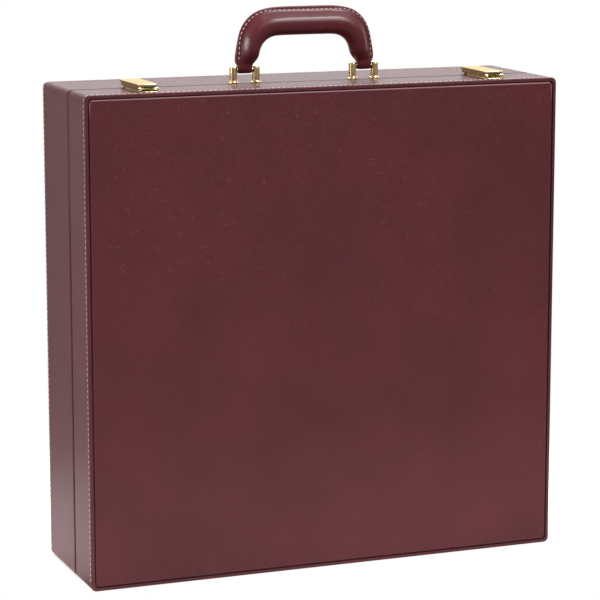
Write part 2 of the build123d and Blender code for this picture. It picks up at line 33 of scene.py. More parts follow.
print("loading the packed case")
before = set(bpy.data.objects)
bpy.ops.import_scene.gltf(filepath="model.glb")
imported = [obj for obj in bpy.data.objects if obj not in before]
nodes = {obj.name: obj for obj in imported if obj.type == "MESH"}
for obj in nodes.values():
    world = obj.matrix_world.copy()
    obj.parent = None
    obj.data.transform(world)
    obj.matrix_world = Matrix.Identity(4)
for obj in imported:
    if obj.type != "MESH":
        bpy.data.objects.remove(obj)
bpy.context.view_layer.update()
mm = 0.001
caseMiddle = 225.0  # height of the case's middle
stitchDepth = 63.9  # how far before and behind the middle the case's stitches run


# One socket of a finish; sums on it add Math nodes
class Value:
    def __init__(self, graph, socket):
        self.graph = graph
        self.socket = socket

    def __add__(self, other):
        return self.graph.maths("ADD", self, other)

    def __radd__(self, other):
        return self.graph.maths("ADD", other, self)

    def __sub__(self, other):
        return self.graph.maths("SUBTRACT", self, other)

    def __rsub__(self, other):
        return self.graph.maths("SUBTRACT", other, self)

    def __mul__(self, other):
        return self.graph.maths("MULTIPLY", self, other)

    def __rmul__(self, other):
        return self.graph.maths("MULTIPLY", other, self)

    def __truediv__(self, other):
        return self.graph.maths("DIVIDE", self, other)

    def __rtruediv__(self, other):
        return self.graph.maths("DIVIDE", other, self)

    def __mod__(self, other):
        return self.graph.maths("FLOORED_MODULO", self, other)

    def __rmod__(self, other):
        return self.graph.maths("FLOORED_MODULO", other, self)

    def __abs__(self):
        return self.graph.maths("ABSOLUTE", self)

    def __lt__(self, other):
        return self.graph.maths("LESS_THAN", self, other)

    def __gt__(self, other):
        return self.graph.maths("GREATER_THAN", self, other)


# Nodes of one tree, added one at a time
class Graph:
    def __init__(self, tree):
        self.tree = tree

    def node(self, kind, settings=None, inputs=None, output=0):
        made = self.tree.nodes.new(kind)
        for key, value in (settings or {}).items():
            setattr(made, key, value)
        for key, value in (inputs or {}).items():
            if isinstance(value, Value):
                self.tree.links.new(value.socket, made.inputs[key])
            else:
                made.inputs[key].default_value = value
        return Value(self, made.outputs[output])

    def maths(self, operation, first, second=0.0):
        return self.node("ShaderNodeMath", {"operation": operation}, {0: first, 1: second})

    def place(self):
        return self.node("ShaderNodeTexCoord", output="Object")

    def axes(self, vector):
        split = self.node("ShaderNodeSeparateXYZ", inputs={0: vector}).socket.node
        return [Value(self, output) for output in split.outputs]

    def stretched(self, vector, scale):
        return self.node("ShaderNodeMapping", inputs={"Vector": vector, "Scale": scale})

    def noise(self, vector, scale, detail=2.0, rough=0.5, distortion=0.0):
        values = {"Vector": vector, "Scale": scale, "Detail": detail, "Roughness": rough,
                  "Distortion": distortion}
        return self.node("ShaderNodeTexNoise", inputs=values)

    def cells(self, vector, scale):
        values = {"Vector": vector, "Scale": scale}
        return self.node("ShaderNodeTexVoronoi", {"feature": "DISTANCE_TO_EDGE"}, values, "Distance")

    def smooth(self, value, low, high):
        values = {"Value": value, "From Min": low, "From Max": high}
        return self.node("ShaderNodeMapRange", {"interpolation_type": "SMOOTHSTEP"}, values)

    # 1 where the distance is under the second reach, fading to 0 at the first
    def closeTo(self, distance, reach):
        return self.smooth(distance, reach[0] * mm, reach[1] * mm)

    def mixed(self, factor, first, second):
        return self.node("ShaderNodeMix", {"data_type": "RGBA"}, {0: factor, 6: first, 7: second}, 2)


# A material under construction, with its shader's constants set first
class Finish(Graph):
    def __init__(self, name, constants):
        self.material = bpy.data.materials.new(name)
        self.material.use_nodes = True
        super().__init__(self.material.node_tree)
        self.shader = self.tree.nodes["Principled BSDF"]
        for socket, value in constants.items():
            self.shader.inputs[socket].default_value = value

    def feed(self, socket, value):
        self.tree.links.new(value.socket, self.shader.inputs[socket])

    def relief(self, height, strength, distance):
        values = {"Strength": strength, "Distance": distance, "Height": height}
        self.feed("Normal", self.node("ShaderNodeBump", inputs=values))


leatherLook = {
    # two tones and how they spread over the slow drift, then the tones that are laid over them
    "deep": (0.08, 0.0098, 0.0142, 1),
    "lively": (0.106, 0.0135, 0.019, 1),
    "spread": (0.3, 0.72),
    # the dark tone goes into the grain's pits and into the painted shade along the stitch rows and the split
    "dark": (0.028, 0.005, 0.006, 1),
    "lifted": (0.17, 0.04, 0.045, 1),
    # colour of the painted highlight along the covers' rims
    "rimHighlight": (0.62, 0.34, 0.35, 1),
    "shine": 0.27,
    "coatRough": 0.16,
    "gloss": 0.38,
    "relief": (0.6, 0.0005),
    # each noise's scale, detail, roughness and distortion, then how high the patterns stand and how they dull
    "noises": {"drift": (9.0, 4.0, 0.6), "ridge": (110.0, 1.0, 0.4, 0.3), "patch": (120.0,),
               "cloud": (210.0, 4.0, 0.6), "fine": (2600.0,)},
    "heights": {"pebble": 0.5, "fine": 0.2, "cloud": 1.6, "crease": 0.9, "row": 1.6},
    "dulls": {"fine": 0.06, "crease": 0.12, "split": 0.45},
    "pebble": {"scale": 1150.0, "dark": (0.14, 0.0), "share": 0.1, "height": (0.0, 0.3)},
    # the heights between which the creases come in are in metres
    "crease": {"stretch": (1.0, 1.0, 2.4), "ridge": (0.955, 1.0), "patch": (0.54, 0.62), "drift": (0.34, 0.6),
               "height": (0.1, 0.36), "share": 0.95},
    "row": {"reach": (1.5, 0.3), "dark": 0.4},
    # the painted shade along the split between lid and base: its depth, reach and darkness
    "split": {"depth": -15.0, "reach": (2.4, 1.2), "dark": 0.8},
    # the covers' rims carry a painted highlight, strongest along the top edge where the light from above
    # would catch them; the top is given in parts of the height of the middle
    "rim": {"reach": (1.5, 0.5), "top": (1.9, 1.97), "share": 0.45, "least": 0.04},
}


def makeLeather(name, rows=(), edges=(), grainy=1.0, gloss=leatherLook["gloss"], coat=0.05, lift=1.0):
    look = leatherLook
    noises, heights, dulls = look["noises"], look["heights"], look["dulls"]
    finish = Finish(name, {"IOR": 1.5, "Specular IOR Level": look["shine"], "Coat Weight": coat,
                           "Coat Roughness": look["coatRough"]})
    # lift scales both tones; above 1 it paints the leather lighter, as painted light
    deep, lively = ([part * lift for part in look[tone][:3]] + [1] for tone in ("deep", "lively"))
    place = finish.place()
    x, y, z = finish.axes(place)
    cell = look["pebble"]
    pebble = finish.cells(place, cell["scale"])
    fine = finish.noise(place, *noises["fine"])
    drift = finish.noise(place, *noises["drift"])
    cloud = finish.noise(place, *noises["cloud"])
    # short creases, only where slower patterns let them through, and none low down
    short = look["crease"]
    ridge = 1 - abs(finish.noise(finish.stretched(place, short["stretch"]), *noises["ridge"]) * 2 - 1)
    patches = finish.smooth(finish.noise(place, *noises["patch"]), *short["patch"])
    patches = patches * finish.smooth(drift, *short["drift"])
    crease = finish.smooth(ridge, *short["ridge"]) * patches * finish.smooth(z, *short["height"])
    colour = finish.mixed(finish.smooth(drift, *look["spread"]), deep, lively)
    colour = finish.mixed(crease * short["share"], colour, look["lifted"])
    dark = finish.smooth(pebble, *cell["dark"]) * cell["share"]
    height = finish.smooth(pebble, *cell["height"]) * heights["pebble"] + fine * heights["fine"]
    height = height + cloud * heights["cloud"] + crease * heights["crease"]
    # along each stitch row the leather sinks into a groove, which is painted darker as painted shade
    for row in rows:
        near = finish.closeTo(abs(y - row * mm), look["row"]["reach"])
        height = height - near * heights["row"]
        dark = dark + near * look["row"]["dark"]
    rough = fine * dulls["fine"] + crease * dulls["crease"] + gloss
    shade = finish.mixed(dark, colour, look["dark"])
    # painted highlight: a pale line along each cover's rim, strongest at its top edge, standing in for light
    # caught by the rounded edge
    if edges:
        rim = look["rim"]
        middle = caseMiddle * mm
        inset = finish.maths("MINIMUM", edges[0] * mm - abs(x), edges[1] * mm - abs(z - middle))
        high = finish.smooth(z, middle * rim["top"][0], middle * rim["top"][1]) * rim["share"] + rim["least"]
        shade = finish.mixed(finish.closeTo(inset, rim["reach"]) * high, shade, look["rimHighlight"])
    # painted shade: a dark line along the split between lid and base, standing in for the shadow in the gap
    # there
    if rows:
        seam = finish.closeTo(abs(y - look["split"]["depth"] * mm), look["split"]["reach"])
        shade = finish.mixed(seam * look["split"]["dark"], shade, look["dark"])
        rough = rough + seam * dulls["split"]
    finish.feed("Base Color", shade)
    finish.feed("Roughness", rough)
    finish.relief(height, look["relief"][0] * grainy, look["relief"][1])
    return finish.material


threadLook = {"shaded": (0.52, 0.33, 0.33, 1), "lit": (0.86, 0.7, 0.68, 1), "twist": 5200.0, "slant": 1.3,
              "swing": 0.3, "mean": 0.45, "dull": 0.05, "gloss": 0.62, "relief": (0.5, 0.0001)}


def makeThread(name):
    look = threadLook
    finish = Finish(name, {"IOR": 1.45, "Specular IOR Level": 0.3})
    x, y, z = finish.axes(finish.place())
    twist = finish.maths("SINE", (x + y + z * look["slant"]) * look["twist"])
    finish.feed("Base Color", finish.mixed(twist * look["swing"] + look["mean"], look["shaded"], look["lit"]))
    finish.feed("Roughness", twist * look["dull"] + look["gloss"])
    finish.relief(twist, *look["relief"])
    return finish.material


metalLook = {"hairs": 3800.0, "stretch": (1.0, 0.06, 1.0), "hairDull": 0.06, "relief": (0.06, 0.0001),
             "smear": (160.0, 3.0), "spread": (0.35, 0.8), "smearDull": 0.09}


def makeMetal(name, colour, dull, rough, tint=(1, 1, 1, 1)):
    look = metalLook
    finish = Finish(name, {"Metallic": 1.0, "Specular Tint": tint})
    place = finish.place()
    hairs = finish.noise(finish.stretched(place, look["stretch"]), look["hairs"])
    smear = finish.noise(place, *look["smear"])
    finish.feed("Base Color", finish.mixed(finish.smooth(smear, *look["spread"]), colour, dull))
    finish.feed("Roughness", rough + smear * look["smearDull"] + hairs * look["hairDull"])
    finish.relief(hairs, *look["relief"])
    return finish.material


woodLook = {
    "birch": ((0.62, 0.45, 0.27, 1), (0.48, 0.32, 0.17, 1)),
    "walnut": ((0.15, 0.066, 0.03, 1), (0.07, 0.029, 0.014, 1)),
    "stretch": {"X": (0.07, 1.0, 1.0), "Z": (1.0, 1.0, 0.07)},
    "bands": (62.0, 5.0, 0.62, 1.1), "spread": (0.3, 0.7), "dull": 0.12, "bandHeight": 0.4,
    "pores": 900.0, "poreSpread": (0.58, 0.75), "poreShare": 0.5, "poreTone": 0.45, "poreHeight": 0.5,
    "relief": (0.12, 0.0004),
    # beyond this depth the boards carry the leather that is turned over their faces, painted near black:
    # partly the leather's colour, partly painted shade in the groove between the band's lip and the cover
    "coveredFrom": 64.9, "leather": (0.03, 0.006, 0.0075, 1),
}


def makeWood(name, timber, along, gloss=0.5, covered=False):
    look = woodLook
    light, dark = look[timber]
    finish = Finish(name, {"IOR": 1.5, "Specular IOR Level": 0.4})
    place = finish.place()
    grain = finish.stretched(place, look["stretch"][along])
    bands = finish.noise(grain, *look["bands"])
    pores = finish.noise(grain, look["pores"])
    tone = finish.smooth(bands, *look["spread"])
    poreColour = [part * look["poreTone"] for part in dark[:3]] + [1]
    poreMask = finish.smooth(pores, *look["poreSpread"]) * look["poreShare"]
    colour = finish.mixed(poreMask, finish.mixed(tone, light, dark), poreColour)
    # painted shade: past this depth the boards' faces are painted near black, the turned-over leather
    # darkened as the shadow in the groove between lip and cover
    if covered:
        turned = abs(finish.axes(place)[1]) > look["coveredFrom"] * mm
        colour = finish.mixed(turned, colour, look["leather"])
    finish.feed("Base Color", colour)
    finish.feed("Roughness", gloss + tone * look["dull"])
    finish.relief(pores * look["poreHeight"] + bands * look["bandHeight"], *look["relief"])
    return finish.material


boardLook = {
    "square": 50.0, "count": 8, "line": 0.7,
    "maple": ((0.62, 0.42, 0.22, 1), (0.47, 0.29, 0.13, 1)),
    "walnut": ((0.105, 0.044, 0.02, 1), (0.048, 0.019, 0.01, 1)),
    "rim": ((0.125, 0.052, 0.025, 1), (0.06, 0.024, 0.012, 1)),
    "inlay": (0.012, 0.008, 0.006, 1),
    "grain": (70.0, 5.0, 0.6, 0.8), "upright": (1.0, 1.0, 0.06), "level": (0.06, 1.0, 1.0),
    "spread": (0.3, 0.7), "dull": 0.1, "gloss": 0.3, "relief": (0.05, 0.0003),
}


def makeBoard(name):
    look = boardLook
    finish = Finish(name, {"IOR": 1.5, "Specular IOR Level": 0.5, "Coat Weight": 0.25,
                           "Coat Roughness": 0.18})
    place = finish.place()
    x, _, z = finish.axes(place)
    side = look["square"] * mm
    half = side * look["count"] / 2
    middle = caseMiddle * mm
    column = finish.maths("FLOOR", (x + half) / side)
    row = finish.maths("FLOOR", (z - middle + half) / side)
    darkSquare = (column + row) % 2.0
    inside = (abs(x) < half) * (abs(z - middle) < half)
    inner = half - look["line"] * mm
    inlay = 1 - (abs(x) < inner) * (abs(z - middle) < inner)
    upright = finish.noise(finish.stretched(place, look["upright"]), *look["grain"])
    level = finish.noise(finish.stretched(place, look["level"]), *look["grain"])
    maple = finish.mixed(finish.smooth(upright, *look["spread"]), *look["maple"])
    walnut = finish.mixed(finish.smooth(level, *look["spread"]), *look["walnut"])
    rim = finish.mixed(finish.smooth(level, *look["spread"]), *look["rim"])
    squares = finish.mixed(inlay, finish.mixed(darkSquare, maple, walnut), look["inlay"])
    finish.feed("Base Color", finish.mixed(inside, rim, squares))
    finish.feed("Roughness", upright * look["dull"] + look["gloss"])
    finish.relief(upright + level, *look["relief"])
    return finish.material


velvetLook = {
    "deep": (0.055, 0.004, 0.008, 1), "bright": (0.15, 0.012, 0.022, 1), "sheen": (0.9, 0.35, 0.35, 1),
    "stretch": (1.0, 1.0, 0.55), "nap": (24.0, 4.0, 0.6, 0.6), "spread": (0.35, 0.7), "napShare": 0.8,
    "napHeight": 0.6, "dull": 0.12, "gloss": 0.78, "pile": 2400.0, "pileShare": 0.2, "relief": (0.5, 0.0004),
}


def makeVelvet(name):
    look = velvetLook
    finish = Finish(name, {"Sheen Weight": 0.6, "Sheen Roughness": 0.35, "Sheen Tint": look["sheen"],
                           "Specular IOR Level": 0.15})
    place = finish.place()
    nap = finish.noise(finish.stretched(place, look["stretch"]), *look["nap"])
    pile = finish.noise(place, look["pile"])
    tone = finish.smooth(nap, *look["spread"]) * look["napShare"] + pile * look["pileShare"]
    finish.feed("Base Color", finish.mixed(tone, look["deep"], look["bright"]))
    finish.feed("Roughness", nap * look["dull"] + look["gloss"])
    finish.relief(pile + nap * look["napHeight"], *look["relief"])
    return finish.material


print("mixing the finishes")
# rows are the depths of the stitches, edges the half width and half height of a cover
finishes = {
    "leather": makeLeather("burgundyLeather"),
    "cover": makeLeather("coverLeather", edges=(225.8, 220.8)),
    "lidBand": makeLeather("lidBandLeather", rows=(-stitchDepth,), coat=0.16),
    "baseBand": makeLeather("baseBandLeather", rows=(stitchDepth,), coat=0.16),
    # the handle's leather is painted lighter than the case's, standing in for the light from below that the
    # lamps don't give it
    "handle": makeLeather("handleLeather", grainy=0.5, gloss=0.29, coat=0.35, lift=1.2),
    "thread": makeThread("pinkThread"),
    "brass": makeMetal("polishedBrass", (0.9, 0.73, 0.4, 1), (0.74, 0.55, 0.27, 1), 0.13),
    "hinge": makeMetal("hingeBrass", (0.78, 0.58, 0.28, 1), (0.6, 0.42, 0.2, 1), 0.24),
    "paleBrass": makeMetal("paleBrass", (0.7, 0.58, 0.36, 1), (0.6, 0.48, 0.27, 1), 0.2,
                           tint=(0.86, 0.76, 0.55, 1)),
    "springBrass": makeMetal("springBrass", (0.3, 0.22, 0.09, 1), (0.2, 0.14, 0.06, 1), 0.3),
    "steel": makeMetal("plainSteel", (0.58, 0.58, 0.6, 1), (0.44, 0.44, 0.46, 1), 0.28),
    "birchAcross": makeWood("birchAcross", "birch", "X", covered=True),
    "birchUpright": makeWood("birchUpright", "birch", "Z", covered=True),
    "walnutAcross": makeWood("walnutAcross", "walnut", "X", gloss=0.36),
    "walnutUpright": makeWood("walnutUpright", "walnut", "Z", gloss=0.36),
    "squares": makeBoard("boardSquares"),
    "velvet": makeVelvet("redVelvet"),
}


def nodeFinish(name):
    if name in ("lid_band_cover", "base_band_cover"):
        return finishes["lidBand" if name.startswith("lid") else "baseBand"]
    if name in ("lid_front_cover", "base_rear_cover"):
        return finishes["cover"]
    if "cover" in name or name in ("handle_grip", "handle_welt"):
        return finishes["leather"]
    if "lining" in name or name == "lid_pad":
        return finishes["velvet"]
    if name == "playing_board":
        return finishes["squares"]
    if name == "board_frame" or name.startswith("column_divider"):
        return finishes["walnutUpright"]
    if name.startswith("row_divider"):
        return finishes["walnutAcross"]
    if name.endswith(("top_board", "bottom_board", "panel")):
        return finishes["birchAcross"]
    if name.endswith(("left_board", "right_board")):
        return finishes["birchUpright"]
    if name in ("handle_core", "handle_nuts", "hinge_pin") or "plate_" in name or "spring" in name:
        return finishes["steel"]
    if name.startswith("hinge"):
        return finishes["hinge"]
    if "latch" in name:
        return finishes["paleBrass"]
    return finishes["brass"]


print("dressing the case's own pieces")
for name, node in nodes.items():
    for slot in node.material_slots:
        slot.material = nodeFinish(name)

weldReach = 0.00001  # points nearer than this are merged
footReach = 0.000001  # slack for picking a path's lowest points


# Small helpers for modelling
def choose(piece):
    if bpy.context.object and bpy.context.object.mode != "OBJECT":
        bpy.ops.object.mode_set(mode="OBJECT")
    bpy.ops.object.select_all(action="DESELECT")
    piece.select_set(True)
    bpy.context.view_layer.objects.active = piece


def settle(piece):
    choose(piece)
    bpy.ops.object.transform_apply(location=True, rotation=True, scale=True)


def modify(piece, kind, **settings):
    choose(piece)
    bpy.ops.object.modifier_add(type=kind)
    modifier = piece.modifiers[-1]
    for key, value in settings.items():
        setattr(modifier, key, value)
    bpy.ops.object.modifier_apply(modifier=modifier.name)


def remove(piece):
    choose(piece)
    bpy.ops.object.delete()


def tidyNormals(piece):
    choose(piece)
    bpy.ops.object.mode_set(mode="EDIT")
    bpy.ops.mesh.select_all(action="SELECT")
    bpy.ops.mesh.remove_doubles(threshold=weldReach)
    bpy.ops.mesh.normals_make_consistent(inside=False)
    bpy.ops.object.mode_set(mode="OBJECT")


def give(piece, name, finish, body, replaced=()):
    piece.name = name
    piece.data.materials.clear()
    piece.data.materials.append(finishes[finish])
    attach(piece, body)
    if replaced:
        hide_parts(*replaced)


# Stitches: one bead of thread, repeated along a path that goes up, over and down
stitchLook = {
    "thick": 1.0, "sides": 8, "rings": 5,
    "case": {"pitch": 5.0, "length": 3.5, "halfTop": 229.95, "halfBottom": 229.95, "low": 8.0, "high": 449.95,
             "corner": 5.0, "segments": 6},
    "handle": {"pitch": 4.6, "length": 3.0, "halfTop": 62.9, "halfBottom": 65.5, "low": 470.2, "high": 515.5,
               "corner": 29.0, "segments": 12},
    "handleOffset": 2.3,
}


def outlinePath(look, depth):
    bpy.ops.mesh.primitive_plane_add(size=1, location=(0, 0, 0))
    path = bpy.context.object
    bpy.ops.object.mode_set(mode="EDIT")
    bpy.ops.mesh.delete(type="ONLY_FACE")
    bpy.ops.object.mode_set(mode="OBJECT")
    for vertex in path.data.vertices:
        top = vertex.co.y > 0
        side = 1 if vertex.co.x > 0 else -1
        across = side * look["halfTop" if top else "halfBottom"]
        vertex.co = (across * mm, depth * mm, look["high" if top else "low"] * mm)
        vertex.select = top
    for edge in path.data.edges:
        edge.select = False
    bpy.ops.object.mode_set(mode="EDIT")
    bpy.ops.mesh.select_mode(type="VERT")
    bpy.ops.mesh.bevel(affect="VERTICES", offset=look["corner"] * mm, segments=look["segments"],
                       offset_type="OFFSET")
    bpy.ops.mesh.select_all(action="DESELECT")
    bpy.ops.object.mode_set(mode="OBJECT")
    # the edge along the foot goes, so that the path is open there
    for vertex in path.data.vertices:
        vertex.select = vertex.co.z < look["low"] * mm + footReach
    bpy.ops.object.mode_set(mode="EDIT")
    bpy.ops.mesh.select_mode(type="EDGE")
    bpy.ops.mesh.delete(type="EDGE")
    bpy.ops.object.mode_set(mode="OBJECT")
    bpy.ops.object.convert(target="CURVE")
    return bpy.context.object


def stitchRow(name, look, depth, body):
    path = outlinePath(look, depth)
    pitch = look["pitch"] * mm
    thick = stitchLook["thick"] * mm
    bpy.ops.mesh.primitive_uv_sphere_add(segments=stitchLook["sides"], ring_count=stitchLook["rings"],
                                         radius=0.5, rotation=(0, math.pi / 2, 0))
    row = bpy.context.object
    settle(row)
    row.scale = (look["length"] * mm, thick, thick)
    row.location = (pitch / 2, 0, 0)
    settle(row)
    modify(row, "ARRAY", fit_type="FIT_CURVE", curve=path, use_relative_offset=False,
           use_constant_offset=True, constant_offset_displace=(pitch, 0, 0))
    modify(row, "CURVE", object=path, deform_axis="POS_X")
    remove(path)
    choose(row)
    bpy.ops.object.shade_smooth()
    give(row, name, "thread", body)


print("sewing the edges")
for name, body, side in (("lidStitches", "lid", -1), ("baseStitches", "base", 1)):
    stitchRow(name, stitchLook["case"], side * stitchDepth, body)

print("rolling the handle")
handleLook = {
    "depth": -7.0,
    "half": 11.0,
    # stations up the right side: outer and inner edge as (x, z), half depth, and how much welt stands out
    "leg": [((65.6, 458.25), (52.4, 458.25), 1.2, 0.0), ((65.9, 459.2), (52.1, 459.2), 2.7, 0.0),
            ((65.9, 462.0), (52.1, 462.0), 4.0, 0.0), ((65.9, 466.0), (52.1, 466.0), 4.0, 0.0),
            ((69.0, 468.6), (50.2, 467.6), 4.6, 0.8), ((68.4, 476.0), (46.8, 471.5), 8.3, 1.0)],
    # the bend: centre x, centre z and radius of each edge, and its stations in degrees from upright
    "arc": {"outer": (33.5, 486.0, 33.0), "inner": (27.8, 474.2, 17.8), "turns": (90.0, 67.5, 45.0, 22.5)},
    "bar": [((30.0, 519.0), (27.8, 492.0), 11.0, 1.0), ((14.0, 519.0), (14.0, 492.0), 11.0, 1.0)],
    "weltWidth": 6.8,
    # along the roll from its inside, and its half thickness there, both as parts
    "roll": [(0.0, 0.0), (0.035, 0.41), (0.134, 0.68), (0.282, 0.89), (0.53, 1.0), (0.728, 0.927),
             (0.876, 0.727)],
    # outwards from the roll, with half thicknesses, both in mm
    "welt": [(0.0, 5.0), (2.0, 3.0), (3.5, 2.1), (5.0, 1.9), (6.4, 1.9), (6.8, 0.0)],
    # the plain flat strap between the posts, as parts
    "strap": [(0.0, 0.0), (0.01, 0.6), (0.05, 0.92), (0.16, 1.0), (0.3, 1.0), (0.42, 1.0), (0.54, 1.0),
              (0.66, 1.0), (0.77, 1.0), (0.87, 1.0), (0.95, 0.92), (0.99, 0.6), (1.0, 0.0)],
    "smoothing": 2,
}


def handleRing(outer, inner, half, welted):
    width = handleLook["weltWidth"]
    span = math.dist(outer, inner)
    profile = [(part * (span - width) / span, size * half) for part, size in handleLook["roll"]]
    profile += [((span - width + out) / span, min(size, half)) for out, size in handleLook["welt"]]
    points = []
    for (along, size), (flatAlong, flatSize) in zip(profile, handleLook["strap"]):
        place = along * welted + flatAlong * (1 - welted)
        thick = size * welted + flatSize * half * (1 - welted)
        spot = [inner[i] + (outer[i] - inner[i]) * place for i in range(2)]
        points.append((spot[0], thick, spot[1]))
    back = [(x, -thick, z) for x, thick, z in reversed(points[1:-1])]
    return [Vector((x, handleLook["depth"] + thick, z)) * mm for x, thick, z in points + back]


def arcStation(degrees):
    angle = math.radians(degrees)
    ends = []
    for x, z, radius in (handleLook["arc"]["outer"], handleLook["arc"]["inner"]):
        ends.append((x + radius * math.sin(angle), z + radius * math.cos(angle)))
    return (*ends, handleLook["half"], 1.0)


def loft(rings):
    bpy.ops.object.select_all(action="DESELECT")
    bpy.ops.mesh.primitive_circle_add(vertices=len(rings[0]), radius=mm, fill_type="NGON")
    piece = bpy.context.object
    for vertex, spot in zip(piece.data.vertices, rings[0]):
        vertex.co = spot
    for before, after in zip(rings, rings[1:]):
        bpy.ops.object.mode_set(mode="EDIT")
        bpy.ops.mesh.extrude_region()
        bpy.ops.object.mode_set(mode="OBJECT")
        for vertex in piece.data.vertices:
            if vertex.select:
                nearest = min(range(len(before)), key=lambda i: (before[i] - vertex.co).length)
                vertex.co = after[nearest]
    return piece


bend = [arcStation(degrees) for degrees in handleLook["arc"]["turns"]]
rightSide = handleLook["leg"] + bend + handleLook["bar"]
leftSide = [((-outer[0], outer[1]), (-inner[0], inner[1]), half, welted)
            for outer, inner, half, welted in reversed(rightSide)]
grip = loft([handleRing(*station) for station in rightSide + leftSide])
tidyNormals(grip)
modify(grip, "SUBSURF", levels=handleLook["smoothing"], render_levels=handleLook["smoothing"])
bpy.ops.object.shade_smooth()
give(grip, "handleGrip", "handle", "handle", ["handle_grip", "handle_welt"])
for name, side in (("handleStitchesFront", -1), ("handleStitchesRear", 1)):
    stitchRow(name, stitchLook["handle"], handleLook["depth"] + side * stitchLook["handleOffset"], "handle")

print("beading the latches")
# a rounded bead round each lever's top edge, and a lower one round the foot of its plate;
# "from" says whether the height counts from the foot (0) or from the top (1) of the CAD piece
beadLook = {
    "corner": 2.0, "segments": 4, "roundness": 2,
    "lever": {"from": 1, "height": -0.58, "radius": 0.7, "inset": 0.45, "front": 1.1},
    "plate": {"from": 0, "height": 0.62, "radius": 0.55, "inset": 0.25, "front": 0.3},
}


def beadRing(name, node, look, body):
    low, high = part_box(node)
    inset = look["inset"] * mm
    start = low[1] + look["front"] * mm
    end = high[1] - inset
    level = (low, high)[look["from"]][2] + look["height"] * mm
    bpy.ops.object.select_all(action="DESELECT")
    bpy.ops.mesh.primitive_plane_add(size=1, location=((low[0] + high[0]) / 2, (start + end) / 2, level))
    ring = bpy.context.object
    ring.scale = (high[0] - low[0] - 2 * inset, end - start, 1)
    settle(ring)
    bpy.ops.object.mode_set(mode="EDIT")
    bpy.ops.mesh.select_all(action="SELECT")
    bpy.ops.mesh.bevel(affect="VERTICES", offset=beadLook["corner"] * mm, segments=beadLook["segments"])
    bpy.ops.mesh.select_all(action="SELECT")
    bpy.ops.mesh.delete(type="ONLY_FACE")
    bpy.ops.object.mode_set(mode="OBJECT")
    bpy.ops.object.convert(target="CURVE")
    ring = bpy.context.object
    ring.data.dimensions = "3D"
    ring.data.bevel_depth = look["radius"] * mm
    ring.data.bevel_resolution = beadLook["roundness"]
    bpy.ops.object.convert(target="MESH")
    ring = bpy.context.object
    tidyNormals(ring)
    bpy.ops.object.shade_smooth()
    give(ring, name, "brass", body)


for side in ("left", "right"):
    beadRing(side + "LeverBead", side + "_latch_lever", beadLook["lever"], side + "_latch")
    beadRing(side + "PlateBead", side + "_latch_plate", beadLook["plate"], "lid")

print("winding the springs")
# the pin's depth and height, and how far across each latch sits
springLook = {"radius": 1.4, "wire": 0.28, "sides": 8, "turns": 11, "pitch": 1.07, "steps": 18,
              "pin": (-58.0, 453.0), "latches": (-169.0, 169.0)}
for name, across in zip(("leftSpring", "rightSpring"), springLook["latches"]):
    bpy.ops.object.select_all(action="DESELECT")
    bpy.ops.mesh.primitive_circle_add(vertices=springLook["sides"], radius=springLook["wire"] * mm,
                                      fill_type="NOTHING", location=(0, 0, springLook["radius"] * mm),
                                      rotation=(math.pi / 2, 0, 0))
    coil = bpy.context.object
    settle(coil)
    modify(coil, "SCREW", axis="X", angle=2 * math.pi, screw_offset=springLook["pitch"] * mm,
           iterations=springLook["turns"], steps=springLook["steps"], render_steps=springLook["steps"])
    half = springLook["turns"] * springLook["pitch"] / 2
    coil.location = ((across - half) * mm, springLook["pin"][0] * mm, springLook["pin"][1] * mm)
    settle(coil)
    bpy.ops.object.mode_set(mode="EDIT")
    bpy.ops.mesh.select_all(action="SELECT")
    bpy.ops.mesh.fill_holes(sides=springLook["sides"])
    bpy.ops.object.mode_set(mode="OBJECT")
    tidyNormals(coil)
    bpy.ops.object.shade_smooth()
    give(coil, name, "springBrass", "lid", [name.replace("Spring", "_latch_spring")])

print("padding the lid")
padLook = {
    "half": 217.5, "tall": 212.5, "front": -61.35, "rear": -53.65,
    "thinner": 1.2, "round": 2.4, "roundSteps": 3, "voxel": 5.0,
    # how the cloth swells, and the most that a point of it may move
    "pressure": 4.0, "quality": 4, "steps": 20, "cap": 1.6, "fill": 0.6,
    # the sewn channel, the turned-down edge and the crown inside the channel
    "seam": 24.0, "seamWidth": 7.0, "seamDepth": 3.2, "edgeWidth": 9.0, "edgeDepth": 2.2,
    "crown": 1.8, "crownWidth": 60.0,
}


def seamedDepth(x, z):
    inset = min(padLook["half"] - abs(x), padLook["tall"] - abs(z - caseMiddle))
    channel = math.exp(-((inset - padLook["seam"]) / padLook["seamWidth"]) ** 2) * padLook["seamDepth"]
    edge = max(0.0, 1 - max(inset, 0.0) / padLook["edgeWidth"]) ** 2 * padLook["edgeDepth"]
    crown = padLook["crown"] * math.exp(-max(inset - padLook["seam"], 0.0) / padLook["crownWidth"])
    return channel + edge + (crown if inset > padLook["seam"] else 0.0)


middleY = (padLook["front"] + padLook["rear"]) / 2
thick = padLook["rear"] - padLook["front"] - padLook["thinner"]
bpy.ops.object.select_all(action="DESELECT")
bpy.ops.mesh.primitive_cube_add(size=1, location=(0, middleY * mm, caseMiddle * mm))
pad = bpy.context.object
pad.scale = (2 * padLook["half"] * mm, thick * mm, 2 * padLook["tall"] * mm)
settle(pad)
modify(pad, "BEVEL", width=padLook["round"] * mm, segments=padLook["roundSteps"], limit_method="NONE")
modify(pad, "REMESH", mode="VOXEL", voxel_size=padLook["voxel"] * mm, adaptivity=0.0)
pad.name = "lidPad"
before = [vertex.co.copy() for vertex in pad.data.vertices]
choose(pad)
bpy.ops.object.modifier_add(type="CLOTH")
cloth = pad.modifiers[-1]
cloth.settings.use_pressure = True
cloth.settings.uniform_pressure_force = padLook["pressure"]
cloth.settings.effector_weights.gravity = 0.0
cloth.settings.quality = padLook["quality"]
cloth.collision_settings.use_collision = False
